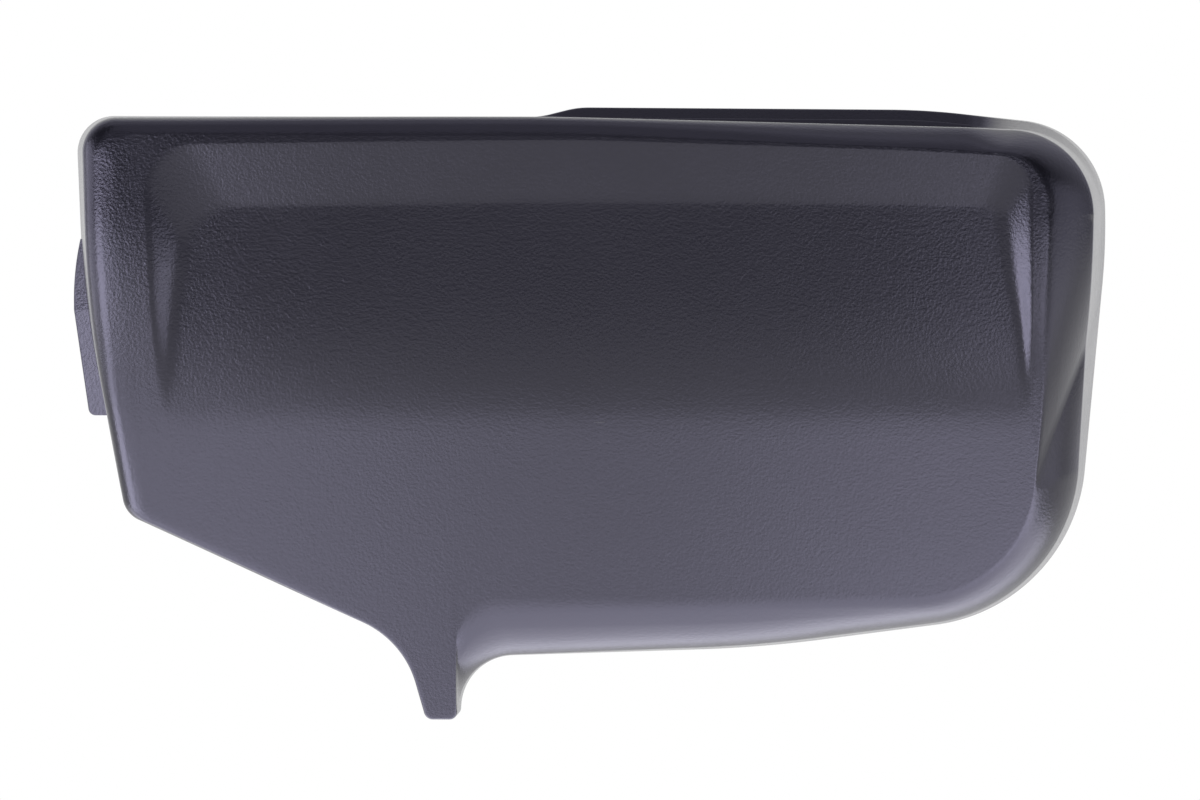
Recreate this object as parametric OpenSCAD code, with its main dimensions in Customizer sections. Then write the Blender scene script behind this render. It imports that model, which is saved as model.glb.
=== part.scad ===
// Wing mirror cover: one injection-moulded shell with its clips, ribs, boss and pins.
// X runs to the right of the photograph, Z up, and the front faces -Y.
// The origin is the middle of the mouth of the centre screw boss.

/* [Overall] */
// Depth from the front-most line of the face to the rim plane
cover_depth = 58; // [50:1:68]
// Depth from the front-most line of the face to the mouth of the centre boss
boss_mouth_depth = 36; // [32:1:42]
// Wall of the moulding
wall = 2.5; // [2:0.1:3]

/* [Rim outline] */
// Rim, from the boss to the left side at the top
rim_left = 137.6; // [125:0.5:150]
// Rim, from the boss to the right side
rim_right = 132.8; // [120:0.5:145]
// Rim, from the boss to the top side
rim_top = 74.6; // [68:0.5:84]
// Rim, from the boss to the bottom side at its lowest run
rim_bottom = 67.4; // [60:0.5:72]
// How far the left side leans in by the middle bend
left_mid_lean = 2.1; // [0:0.1:4]
// Height of the middle bend of the left side
left_mid_z = 23.6; // [10:0.5:35]
// How far the left side leans in by the lower left corner
left_foot_lean = 14.1; // [8:0.1:20]
// Depth of the lower left corner below the boss
left_foot_drop = 29.6; // [20:0.5:36]
// Height of the bend in the right side
right_mid_z = 39.4; // [30:0.5:50]
// How far the right side leans in by the lower right corner
right_foot_lean = 8.9; // [4:0.1:14]
// Rise of the bottom side from its lowest run to the lower right corner
bottom_rise = 13; // [6:0.5:18]
// Rise of the bottom side by its middle bend
bottom_mid_rise = 2.4; // [1:0.1:5]
// Place of the bottom side's middle bend across the cover
bottom_mid_x = 42; // [20:1:60]
// Fall of the top side to its bend before the upper right corner
shoulder_fall = 2.6; // [1:0.1:5]
// Fall of the top side to the upper right corner
corner_fall_z = 4; // [2:0.1:8]
// Place of the top side's bend before the upper right corner
shoulder_x = 85; // [76:0.5:96]

/* [Leg] */
// Place of the leg's right side across the cover
leg_right_x = 36.6; // [30:0.2:42]
// Width of the leg at its foot
leg_w = 8.6; // [7:0.1:14]
// Width that the leg gains on its left side up to the body
leg_taper = 5.8; // [2:0.1:10]
// Depth of the leg's foot below the boss
leg_drop = 82.8; // [76:0.2:94]
// Depth of the corner between the slanted edge and the leg
leg_neck_drop = 62.2; // [56:0.2:66]

/* [Walls and bands] */
// Draft of the left wall from rim to roll
left_draft = 7.8; // [3:0.1:10]
// Draft of the top wall from rim to band
top_draft = 3.2; // [2:0.1:5]
// Draft of the right wall from rim to band
right_draft = 7.9; // [3:0.1:10]
// Draft of the bottom wall from rim to band
bottom_draft = 1.4; // [0.6:0.1:4]
// Draft of the leg and of the slanted edge
leg_draft = 0.7; // [0.3:0.1:2]
// Width of the rolled edge down the left side
left_roll = 6; // [4:0.1:8]
// Width of the band along the top
top_band = 4.1; // [3:0.1:5]
// Width of the band down the right side
right_band = 12; // [8:0.1:15]
// Width of the band along the bottom
bottom_band = 11.2; // [8:0.1:14]
// Width of the crisp edge round the leg and the slanted side
leg_edge = 0.5; // [0.3:0.1:1]
// Depth that the left roll falls back
left_roll_fall = 6; // [4:0.5:8]
// Depth that the top band falls back
top_band_fall = 4; // [3:0.1:6]
// Depth that the right band falls back
right_band_fall = 10; // [6:0.5:13]
// Depth that the bottom band falls back
bottom_band_fall = 15; // [10:0.5:18]
// Depth that the crisp edge falls back
leg_edge_fall = 0.8; // [0.4:0.1:1.5]
// Reach of the small rounding along the creases
crease_reach = 1.1; // [0.6:0.1:1.6]
// How far the right crease's bend lies below the wall's
right_bend_drop = 20; // [10:0.5:26]
// How far the bottom crease's bend lies to the left of the wall's
bottom_bend_shift = 18; // [8:0.5:24]

/* [Face] */
// Height at which the face starts to tip back
tip_start_z = 48; // [40:1:55]
// Radius of the bend in which the face tips back
tip_radius = 200; // [150:5:260]
// Tilt of the lower face
tip_angle = 17; // [12:0.5:20]
// Radius of the face's slight crown across the cover
crown_radius = 1500; // [1000:50:2500]

/* [Scoop] */
// Depth of the scoop's floor behind the front-most line, at the boss's height and below
scoop_depth = 4.4; // [3:0.2:6]
// Lean of the scoop's floor, which gets shallower towards the top
floor_lean = 1.8; // [0:0.2:3]
// Softness of the bend where the floor runs into the lower face
scoop_blend = 3; // [1.5:0.25:4]
// Scoop mouth, from the boss to its left side
scoop_left = 114.2; // [104:0.2:118]
// Scoop mouth, from the boss to its right side
scoop_right = 108.1; // [98:0.2:109]
// Scoop mouth, height of its top left corner
scoop_top = 63.9; // [56:0.2:64.2]
// Rise of the mouth's top edge from there to its highest run
scoop_top_rise = 0.9; // [0.3:0.1:1.2]
// Fall of the mouth's top edge to its right end
scoop_top_fall = 3.2; // [1:0.1:5]
// Width of the slope below the mouth's top edge, at the left
slope_top = 14.8; // [10:0.2:18]
// Width of the slope beside the mouth's left edge, at the top
slope_left = 11.7; // [8:0.2:14]
// Width of the slope beside the mouth's right edge, at the top
slope_right = 6.1; // [4:0.2:9]
// Distance from the end of the face's bend down to the hidden foot of the scoop's mouth
scoop_foot_drop = 4; // [2:0.5:8]

/* [Lip on the top rim] */
// Height of the raised lip at its left end
lip_rise = 2.7; // [1:0.1:3.5]
// Height of the raised lip at its right end
lip_end_rise = 4.2; // [2:0.1:5]
// Height that is left of the lip at the upper right corner
lip_corner_rise = 0.5; // [0.2:0.1:1]
// Length of the lip along the depth, to the rim
lip_run = 12; // [8:0.5:14]
// Depth over which the lip steps down to the wall
lip_ledge = 0.5; // [0.3:0.1:1]
// Place where the lip's ramp starts
lip_start_x = -15.8; // [-30:0.5:0]
// Length of the lip's ramp
lip_ramp = 10; // [6:0.5:16]

/* [Ear on the left wall] */
// Thickness of the ear
ear_t = 2.4; // [1.8:0.1:3]
// Distance from the ear's rear face to the rim plane
ear_set_back = 5.5; // [3:0.5:10]
// How far the ear stands out from the wall at its lower end
ear_out = 4.8; // [3:0.1:6]
// How far the ear stands out from the wall near its upper end
ear_top_out = 2.3; // [1.6:0.1:3]
// Height of the ear's upper end
ear_top_z = 42; // [36:0.5:50]
// Length of the ear down the wall
ear_len = 46; // [36:0.5:56]
// Length of the slanted shoulder at the ear's upper end
ear_shoulder = 8; // [5:0.5:12]
// Radius of the ear's lower corner
ear_r = 1.6; // [1:0.1:2]

/* [Clips] */
// Width of each clip
clip_w = 14; // [10:0.5:18]
// Thickness of each clip's arm
clip_t = 2.2; // [1.8:0.1:2.6]
// Clear space between the wall and a clip's arm at the rim
clip_gap = 9; // [7:0.5:12]
// Distance from the clip's tip to the rim plane
clip_below_rim = 4; // [2:0.5:8]
// Length of the clip's arm
clip_len = 26; // [22:0.5:30]
// Length of the clip's free tip above its webs
clip_free = 13; // [10:0.5:15]
// Height of the barb
barb_h = 2.2; // [1.5:0.1:3]
// Length of the barb
barb_len = 6; // [4:0.5:8]
// Thickness of webs and ribs
rib_t = 1.6; // [1.2:0.1:2]

/* [Ribs] */
// Height of the ribs above the inside of the face
rib_h = 7; // [4:0.5:10]
// Spacing of the upright ribs
rib_pitch = 30; // [26:0.5:32]
// Number of upright ribs on each side of the boss
rib_count = 3; // [2:1:3]
// Height of the upper long rib, and depth of the lower one
long_rib_z = 22; // [16:0.5:26]
// Height at which the upright ribs end at the top
rib_top_z = 44; // [36:0.5:46]
// Depth at which the upright ribs end at the foot
rib_foot_drop = 46; // [40:0.5:50]

/* [Centre boss and pins] */
// Outside diameter of the centre boss
boss_d = 10; // [8.5:0.1:12]
// Screw hole in the centre boss
boss_bore_d = 4.2; // [3.5:0.1:5]
// Depth of the screw hole
boss_bore_depth = 16; // [12:0.5:20]
// Span of the gussets that hold the boss
gusset_span = 24; // [18:0.5:28]
// Distance from the boss's mouth to the tops of its gussets
gusset_drop = 9; // [6:0.5:14]
// Diameter of each locating pin
pin_d = 6; // [5:0.1:7]
// Length of each locating pin above its collar
pin_len = 12; // [8:0.5:14]
// Length of the taper at the end of each pin
pin_taper = 1.2; // [0.6:0.1:1.6]
// Diameter of the collar under each pin
pin_collar_d = 10; // [9:0.1:12]
// Depth of the pins' shoulders in front of the boss mouth
pin_shoulder_depth = 6; // [4:0.5:10]

/* [Hidden] */
$fn = 48;
front_y = -boss_mouth_depth;
rim_y = cover_depth - boss_mouth_depth;
embed = wall / 2;
tip_end_z = tip_start_z - tip_radius * sin(tip_angle);
tip_end_fall = tip_radius * (1 - cos(tip_angle));

// Number of steps round each corner, and along the side that follows it
corner_steps = [6, 2, 3, 3, 8, 3, 11, 3, 7, 3, 3, 7, 5, 4];
side_steps = [5, 1, 4, 2, 1, 3, 3, 4, 2, 1, 2, 5, 3, 3];
corners = len(corner_steps);

function unit(v) = v / norm(v);
function mix(a, b, t) = a + (b - a) * t;
function ease(t) = t * t * (3 - 2 * t);
function turned(v) = [v[1], -v[0]];
function on_line(p, q, x) = mix(p[1], q[1], (x - p[0]) / (q[0] - p[0]));
function xz(c) = [c[0], c[1]];

// Points of a ring of corners [across, up, reach of the rounding], with true arcs
function corner_point(c, i, t) = let(
    n = len(c),
    p = xz(c[i]),
    u = unit(xz(c[(i + n - 1) % n]) - p),
    v = unit(xz(c[(i + 1) % n]) - p),
    w = sqrt((1 - u * v) / 2),
    a = (1 - t) * (1 - t),
    b = 2 * w * t * (1 - t)
) (a * (p + u * c[i][2]) + b * p + t * t * (p + v * c[i][2])) / (a + b + t * t);

function ring(c) = [
    for (i = [0 : corners - 1])
        let(from = corner_point(c, i, 1), to = corner_point(c, (i + 1) % corners, 0))
            for (k = [0 : corner_steps[i] + side_steps[i] - 1])
                k <= corner_steps[i]
                    ? corner_point(c, i, k / corner_steps[i])
                    : mix(from, to, (k - corner_steps[i]) / side_steps[i])
];

// A value for each point of a ring, from one value for each corner
function along(values) = [
    for (i = [0 : corners - 1])
        for (k = [0 : corner_steps[i] + side_steps[i] - 1])
            mix(values[i], values[(i + 1) % corners], ease(max(0, k - corner_steps[i]) / side_steps[i]))
];

// The same corners moved in by a wall, with each rounding tightened or widened to suit
function moved_in(c, t) = let(n = len(c)) [
    for (i = [0 : n - 1])
        let(
            into = unit(xz(c[i]) - xz(c[(i + n - 1) % n])),
            out = unit(xz(c[(i + 1) % n]) - xz(c[i])),
            bend = (into[0] * out[1] - into[1] * out[0]) / (1 + into * out),
            p = xz(c[i]) + (turned(into) + turned(out)) * t / (1 + into * out)
        ) [p[0], p[1], max(c[i][2] + bend * t, 0.25)]
];

// How far the outer face lies behind its front-most line at a place on it
function tip(z) = z > tip_start_z ? 0
    : z > tip_end_z ? tip_radius - sqrt(pow(tip_radius, 2) - pow(tip_start_z - z, 2))
    : tip_end_fall + (tip_end_z - z) * tan(tip_angle);
function crown(x) = x * x / (2 * crown_radius);
function face(x, z) = front_y + crown(x) + tip(z);
function floor_fall(z) = scoop_depth - max(z, 0) * tan(floor_lean);
function scooped(x, z) = front_y + crown(x) + max(tip(z), floor_fall(z))
    + pow(max(scoop_blend - abs(tip(z) - floor_fall(z)), 0), 2) / (4 * scoop_blend);

// Rings of corners, from the rim to the scoop: top left, two at the lip's ramp, shoulder,
// top right, right bend, lower right, bottom bend, leg neck, leg foot, leg foot, leg neck,
// lower left, left bend
top_left = [-rim_left, rim_top, 10];
shoulder = [shoulder_x, rim_top - shoulder_fall, 9];
ramp_end_x = lip_start_x + lip_ramp;
rim_corners = [
    top_left,
    [lip_start_x, rim_top - 0.3, 3],
    [ramp_end_x, rim_top - 0.5, 3],
    shoulder,
    [rim_right - 0.4, rim_top - corner_fall_z, 21],
    [rim_right, right_mid_z, 9],
    [rim_right - right_foot_lean, bottom_rise - rim_bottom, 36],
    [bottom_mid_x, bottom_mid_rise - rim_bottom, 16],
    [-leg_right_x + 1, -rim_bottom, 12.6],
    [-leg_right_x, -leg_drop, 1.9],
    [-leg_right_x - leg_w, -leg_drop, 1.9],
    [-leg_right_x - leg_w - leg_taper, -leg_neck_drop, 11.5],
    [left_foot_lean - rim_left, -left_foot_drop, 3.6],
    [left_mid_lean - rim_left, left_mid_z, 22]
];
// The same with the lip raised on the top side
lip_corners = [
    for (i = [0 : corners - 1])
        rim_corners[i] + (i == 2 ? [0, lip_rise, 0] : i == 3 ? [0, lip_end_rise, 0]
            : i == 4 ? [0, lip_corner_rise, 0] : [0, 0, 0])
];
// Where the walls end and the bands begin
wall_corners = [
    for (i = [0 : corners - 1])
        rim_corners[i] + [
            [left_draft, -top_draft, -1],
            [0, -top_draft, 0],
            [0, -top_draft, 0],
            [-3, -top_draft, 0],
            [0.6 - right_draft, 0.5 - top_draft, 0],
            [-right_draft, -1.4, -2],
            [-right_draft * 0.56, bottom_draft + 0.8, -1],
            [-0.8, bottom_draft + 0.3, 0],
            [0.4, bottom_draft - 0.2, 0],
            [-leg_draft * 0.4, leg_draft, -0.1],
            [leg_draft * 0.7, leg_draft, -0.1],
            [leg_draft, leg_draft, -0.1],
            [leg_draft * 2.8, leg_draft * 0.5, 0],
            [left_draft - 1, -0.9, 0]
        ][i]
];
// Where the bands end and the face begins
crease_corners = [
    for (i = [0 : corners - 1])
        wall_corners[i] + [
            [left_roll, -top_band, -3],
            [0, -top_band, 0],
            [0, -top_band, 0],
            [0, -top_band - 1, 0],
            [-right_band, -top_band - 2.1, -9.5],
            [-right_band, -right_bend_drop, 2],
            [-right_band + 0.8, 0.4, -6.5],
            [-bottom_bend_shift, bottom_band - 0.4, 0],
            [-1, bottom_band + 2.4, -2.6],
            [-leg_edge, leg_edge, -0.2],
            [leg_edge, leg_edge, -0.2],
            [leg_edge * 0.6, leg_edge, -0.2],
            [leg_edge * 1.6, leg_edge, -0.2],
            [left_roll, 2, 0]
        ][i]
];
scoop_foot_z = tip_end_z - scoop_foot_drop;
floor_rise = scoop_foot_drop / 2;
// The scoop's mouth, whose foot runs out in the lower face
mouth_corners = [
    [-scoop_left, scoop_top, 8],
    [lip_start_x - 4, scoop_top + scoop_top_rise, 2],
    [ramp_end_x + 4, scoop_top + scoop_top_rise, 2],
    [shoulder_x - 7, scoop_top - scoop_top_fall * 0.5, 8],
    [scoop_right, scoop_top - scoop_top_fall, 8.5],
    [scoop_right + 0.2, right_mid_z / 2, 8],
    [scoop_right + 0.8, scoop_foot_z, 6],
    [bottom_mid_x / 2, scoop_foot_z, 8],
    [6 - leg_right_x, scoop_foot_z, 7],
    [-leg_right_x - leg_w / 2, scoop_foot_z, 1.4],
    [-leg_right_x - leg_w, scoop_foot_z, 1.4],
    [-leg_right_x - 2 * leg_w, scoop_foot_z, 7],
    [4.4 - scoop_left, scoop_foot_z, 5],
    [2 - scoop_left, left_mid_z, 10]
];
// The edge of the scoop's floor, at the foot of its slopes
floor_corners = [
    for (i = [0 : corners - 1])
        mouth_corners[i] + [
            [slope_left, -slope_top - 0.4, -2],
            [0, -slope_top, 0],
            [0, -slope_top, 0],
            [-3, -slope_top * 0.85, 0],
            [-slope_right, -slope_top * 0.78, -4],
            [-slope_right * 0.25, 0, 0],
            [-slope_right * 0.25, floor_rise, -1.5],
            [0, floor_rise, 0],
            [0, floor_rise, 0],
            [0, floor_rise, 0],
            [0, floor_rise, 0],
            [0, floor_rise, 0],
            [slope_left * 0.15, floor_rise, -1.5],
            [slope_left * 0.4, 0, 0]
        ][i]
];

// Fall of each band, and the shape of its section: how far the bend reaches in and back
corner_fall = [
    left_roll_fall, top_band_fall, top_band_fall, top_band_fall + 1.5,
    right_band_fall, right_band_fall, (right_band_fall + bottom_band_fall) / 2,
    bottom_band_fall, bottom_band_fall, leg_edge_fall, leg_edge_fall, leg_edge_fall,
    leg_edge_fall * 1.5, left_roll_fall
];
band_fall = along(corner_fall);
bend_in = along([0.9, 0.85, 0.85, 0.62, 0.55, 0.55, 0.66, 0.72, 0.72, 0.7, 0.7, 0.7, 0.85, 0.94]);
bend_back = along([0.1, 0.16, 0.16, 0.36, 0.4, 0.4, 0.32, 0.26, 0.26, 0.3, 0.3, 0.3, 0.14, 0.05]);
// Share of the wall by which the crease moves in on the inside
inner_shift = along([0.5, 0.5, 0.5, 0.4, 0.3, 0.3, 0.3, 0.3, 0.5, 1.1, 1.1, 1.1, 1.1, 0.6]);

// Middle on which the face's rings close
hub = [26, 20];
hub_shares = [0.78, 0.5, 0.24, 0.07];

rim_ring = ring(lip_corners);
step_ring = ring(rim_corners);
wall_ring = ring(wall_corners);
crease_ring = ring(crease_corners);
mouth_ring = ring(mouth_corners);
floor_ring = ring(floor_corners);
in_rim_ring = ring(moved_in(lip_corners, wall));
in_step_ring = ring(moved_in(rim_corners, wall));
in_wall_ring = ring(moved_in(wall_corners, wall));
in_crease_base = ring(moved_in(crease_corners, wall));
in_crease_ring = [
    for (j = [0 : len(crease_ring) - 1]) mix(crease_ring[j], in_crease_base[j], inner_shift[j])
];
stations = len(rim_ring);

function at(p, y) = [p[0], y, p[1]];
function bend(a, b, c, t) = (1 - t) * (1 - t) * a + 2 * t * (1 - t) * b + t * t * c;
function step_to(a, b, reach) = a + (b - a) * min(reach / norm(b - a), 0.4);
// Three points that round off the corner b of the section a, b, c
function rounded(a, b, c, reach) = let(s = step_to(b, a, reach), e = step_to(b, c, reach))
    [s, bend(s, b, e, 0.5), e];
function on_face(p) = at(p, face(p[0], p[1]));
function on_floor(p) = at(p, scooped(p[0], p[1]));

// Depth at which the wall meets the band, and the share of the wall down to a depth
function wall_y(j) = face(crease_ring[j][0], crease_ring[j][1]) + band_fall[j];
function step_share(j, y) = (y - rim_y) / (wall_y(j) - rim_y);

// One section of the outside, from the rim to the middle of the face
function outer_section(j) = let(
    lip_y = rim_y - lip_run,
    share = step_share(j, lip_y),
    lip_top = mix(rim_ring[j], wall_ring[j] + rim_ring[j] - step_ring[j], share),
    lip_foot = mix(step_ring[j], wall_ring[j], share),
    top = at(wall_ring[j], wall_y(j)),
    crease = on_face(crease_ring[j]),
    hold = crease + [
        (top[0] - crease[0]) * bend_in[j], (top[1] - crease[1]) * bend_back[j],
        (top[2] - crease[2]) * bend_in[j]
    ],
    half = on_face(mix(crease_ring[j], mouth_ring[j], 0.5)),
    mouth = on_face(mouth_ring[j]),
    floor_edge = on_floor(floor_ring[j]),
    next = on_floor(mix(hub, floor_ring[j], hub_shares[0]))
) concat(
    [at(rim_ring[j], rim_y), at(lip_top, lip_y), at(lip_foot, lip_y - lip_ledge)],
    [for (t = [0 : 0.25 : 0.75]) bend(top, hold, crease, t)],
    rounded(bend(top, hold, crease, 0.75), crease, half, crease_reach),
    [half],
    rounded(half, mouth, floor_edge, crease_reach),
    rounded(mouth, floor_edge, next, crease_reach),
    [for (s = hub_shares) on_floor(mix(hub, floor_ring[j], s))]
);

// The same section on the inside, from the rim to the middle of the face
function inner_section(j) = let(
    lip_y = rim_y - lip_run - wall / 2,
    share = step_share(j, lip_y),
    lip_top = mix(in_rim_ring[j], in_wall_ring[j] + in_rim_ring[j] - in_step_ring[j], share),
    lip_foot = mix(in_step_ring[j], in_wall_ring[j], share),
    back = [0, wall, 0],
    crease = on_face(in_crease_ring[j]) + back,
    top_y = crease[1] + max(band_fall[j] - wall * 0.65, 0.3),
    top = at(in_wall_ring[j], top_y),
    hold = crease + [
        (top[0] - crease[0]) * bend_in[j], (top[1] - crease[1]) * bend_back[j],
        (top[2] - crease[2]) * bend_in[j]
    ]
) concat(
    [at(in_rim_ring[j], rim_y), at(lip_top, lip_y), at(lip_foot, lip_y - lip_ledge)],
    [for (t = [0 : 0.34 : 0.68]) bend(top, hold, crease, t)],
    [
        crease,
        on_face(mix(in_crease_ring[j], mouth_ring[j], 0.5)) + back,
        on_face(mouth_ring[j]) + back,
        on_floor(floor_ring[j]) + back
    ],
    [for (s = hub_shares) on_floor(mix(hub, floor_ring[j], s)) + back]
);

module shell() {
    outer = [for (j = [0 : stations - 1]) outer_section(j)];
    inner = [for (j = [0 : stations - 1]) inner_section(j)];
    no = len(outer[0]);
    ni = len(inner[0]);
    base = stations * no;
    points = concat(
        [for (s = outer) for (p = s) p],
        [for (s = inner) for (p = s) p],
        [on_floor(hub), on_floor(hub) + [0, wall, 0]]
    );
    hub_out = base + stations * ni;
    faces = concat(
        [for (j = [0 : stations - 1]) let(a = j * no, b = (j + 1) % stations * no)
            for (k = [0 : no - 2]) for (f = [[a + k, b + k, b + k + 1], [a + k, b + k + 1, a + k + 1]]) f],
        [for (j = [0 : stations - 1]) let(a = base + j * ni, b = base + (j + 1) % stations * ni)
            for (k = [0 : ni - 2]) for (f = [[b + k, a + k, a + k + 1], [b + k, a + k + 1, b + k + 1]]) f],
        [for (j = [0 : stations - 1]) let(i = (j + 1) % stations)
            for (f = [
                [base + j * ni, base + i * ni, i * no], [base + j * ni, i * no, j * no],
                [j * no + no - 1, i * no + no - 1, hub_out],
                [base + i * ni + ni - 1, base + j * ni + ni - 1, hub_out + 1]
            ]) f]
    );
    polyhedron(points, faces);
}

// Where a clip or the ear meets a side: the side's number, and the share along it
function side_point(c, i, f) = mix(xz(c[i]), xz(c[(i + 1) % corners]), f);
function side_run(i) = unit(xz(rim_corners[(i + 1) % corners]) - xz(rim_corners[i]));
function side_in(i, f, c) = (side_point(c, i, f) - side_point(rim_corners, i, f)) * turned(side_run(i));
function side_face_y(i, f) = let(p = side_point(crease_corners, i, f)) face(p[0], p[1]);
function side_wall_y(i, f) = side_face_y(i, f) + mix(corner_fall[i], corner_fall[(i + 1) % corners], f);
// How far in from the rim the outside of a side lies at a depth
function side_skin(i, f, y) = let(
    wall_at = side_wall_y(i, f),
    wall_in = side_in(i, f, wall_corners)
) y > wall_at
    ? mix(0, wall_in, (rim_y - y) / (rim_y - wall_at))
    : mix(wall_in, side_in(i, f, crease_corners), (wall_at - y) / (wall_at - side_face_y(i, f)));

// A plate whose outline is drawn as [depth, up] and whose thickness runs across
module across(t) {
    rotate([90, 0, 90]) linear_extrude(t, center = true) children();
}

// A clip on the inside of a side: a barbed arm held off the wall by two webs
module clip(i, f) {
    run = side_run(i);
    p = side_point(rim_corners, i, f);
    tip_y = rim_y - clip_below_rim;
    foot_y = tip_y - clip_len;
    web_y = tip_y - clip_free;
    turn_y = max(min(side_wall_y(i, f), web_y - 1), foot_y + 1);
    arm = wall + clip_gap;
    arm_in = arm + clip_t;
    translate([p[0], 0, p[1]]) rotate([0, atan2(-run[1], run[0]), 0]) {
        across(clip_w) polygon([
            [foot_y, -arm], [tip_y, -arm], [tip_y, -arm_in + clip_t / 3],
            [tip_y - barb_len * 0.7, -arm_in - barb_h], [tip_y - barb_len, -arm_in - barb_h],
            [tip_y - barb_len, -arm_in], [foot_y, -arm_in]
        ]);
        for (s = [-1, 1]) translate([s * (clip_w - rib_t) / 2, 0, 0]) across(rib_t) polygon([
            [foot_y, -side_skin(i, f, foot_y) - embed], [turn_y, -side_skin(i, f, turn_y) - embed],
            [web_y, -side_skin(i, f, web_y) - embed], [web_y, -arm - clip_t / 2],
            [foot_y, -arm - clip_t / 2]
        ]);
    }
}

module clips() {
    for (place = clip_places) clip(place[0], place[1]);
}

// Points along a rib, and the inside of the face there
function spread(a, b, n) = [for (k = [0 : n]) mix(a, b, k / n)];
function inside_y(x, z) = scooped(x, z) + wall;

// A rib that runs up the inside of the face, with tapered ends, and stops short of the slanted side
module upright_rib(x) {
    slant_z = on_line(crease_corners[11], crease_corners[12], x) + wall + rib_h;
    foot_z = x < crease_corners[11][0] ? max(slant_z, -rib_foot_drop) : -rib_foot_drop;
    translate([x, 0, 0]) across(rib_t) polygon(concat(
        [for (z = spread(foot_z, rib_top_z, 10)) [inside_y(x, z) - embed, z]],
        [for (z = spread(rib_top_z - rib_h, foot_z + rib_h, 8)) [inside_y(x, z) + rib_h, z]]
    ));
}

// A rib that runs across the inside of the face, with tapered ends
module long_rib(z) {
    reach = rib_count * rib_pitch + rib_h + rib_t;
    translate([0, 0, z + rib_t / 2]) rotate([0, 180, 0]) linear_extrude(rib_t) polygon(concat(
        [for (x = spread(-reach, reach, 8)) [-x, inside_y(x, z) - embed]],
        [for (x = spread(reach - rib_h, rib_h - reach, 8)) [-x, inside_y(x, z) + rib_h]]
    ));
}

module ribs() {
    for (k = [1 : rib_count], s = [-1, 1]) upright_rib(s * k * rib_pitch);
    for (s = [-1, 1]) long_rib(s * long_rib_z);
}

// A round post along the depth, from one depth to another
module post(x, z, from_y, to_y, d1, d2) {
    translate([x, to_y, z]) rotate([90, 0, 0]) cylinder(h = to_y - from_y, d1 = d2, d2 = d1);
}

// Tapered plates, upright and level, through the middle of the centre boss
module gussets() {
    half = gusset_span / 2;
    edge_y = inside_y(0, 0) + rib_h / 2;
    top = [[edge_y, half], [-gusset_drop, boss_d / 2], [-gusset_drop, -boss_d / 2], [edge_y, -half]];
    across(rib_t) polygon(concat([for (z = spread(-half, half, 4)) [inside_y(0, z) - embed, z]], top));
    rotate([0, 90, 0])
        across(rib_t) polygon(concat([for (x = spread(-half, half, 4)) [inside_y(x, 0) - embed, x]], top));
}

module centre_boss() {
    post(0, 0, inside_y(0, 0) - wall * 0.4, 0, boss_d, boss_d);
    gussets();
}

module locating_pin(x, z) {
    shoulder_y = -pin_shoulder_depth;
    tip_y = shoulder_y + pin_len;
    post(x, z, inside_y(x, z) - embed, shoulder_y, pin_collar_d, pin_collar_d);
    post(x, z, shoulder_y - 1, tip_y - pin_taper, pin_d, pin_d);
    post(x, z, tip_y - pin_taper, tip_y, pin_d, pin_d - 2 * pin_taper * 0.6);
}

// The flat ear that stands out from the left wall, just short of the rim
module ear() {
    y = rim_y - ear_set_back - ear_t / 2;
    low_z = ear_top_z - ear_len;
    high_z = ear_top_z - ear_shoulder;
    side = corners - 1;
    // Outside of the left wall at a height: above and below its middle bend
    function skin_x(z) = let(
        i = z > left_mid_z ? side : side - 1,
        a = rim_corners[i],
        b = rim_corners[(i + 1) % corners],
        f = (z - a[1]) / (b[1] - a[1])
    ) mix(a[0], b[0], f) + side_skin(i, f, y);
    corner = [skin_x(low_z) - ear_out + ear_r, low_z + ear_r];
    translate([0, rim_y - ear_set_back, 0]) rotate([90, 0, 0]) linear_extrude(ear_t) polygon(concat(
        [
            [skin_x(ear_top_z) + embed, ear_top_z], [skin_x(ear_top_z) - 0.2, ear_top_z],
            [skin_x(high_z) - ear_top_out, high_z], [skin_x(left_mid_z) - ear_top_out - 0.4, left_mid_z]
        ],
        [for (a = [180 : 18 : 270]) corner + ear_r * [cos(a), sin(a)]],
        [[skin_x(low_z) + embed, low_z], [skin_x(left_mid_z) + embed, left_mid_z]]
    ));
}

// Clips by side number and share along the side: three on top, two right, two below, two left
clip_places = [
    [0, 0.3], [0, 0.78], [2, 0.62], [5, 0.1], [5, 0.45], [6, 0.5], [7, 0.62], [11, 0.55], [13, 0.35]
];

module mirror_cover() {
    color([0.08, 0.08, 0.09]) difference() {
        union() {
            shell();
            clips();
            ribs();
            centre_boss();
            for (s = [-1, 1]) locating_pin(s * 2 * rib_pitch, long_rib_z);
            ear();
        }
        post(0, 0, -boss_bore_depth, 1, boss_bore_d, boss_bore_d);
    }
}

mirror_cover();
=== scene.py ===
# Wing mirror cover: the looks of one moulded black shell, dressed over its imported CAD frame.
import math

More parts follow.
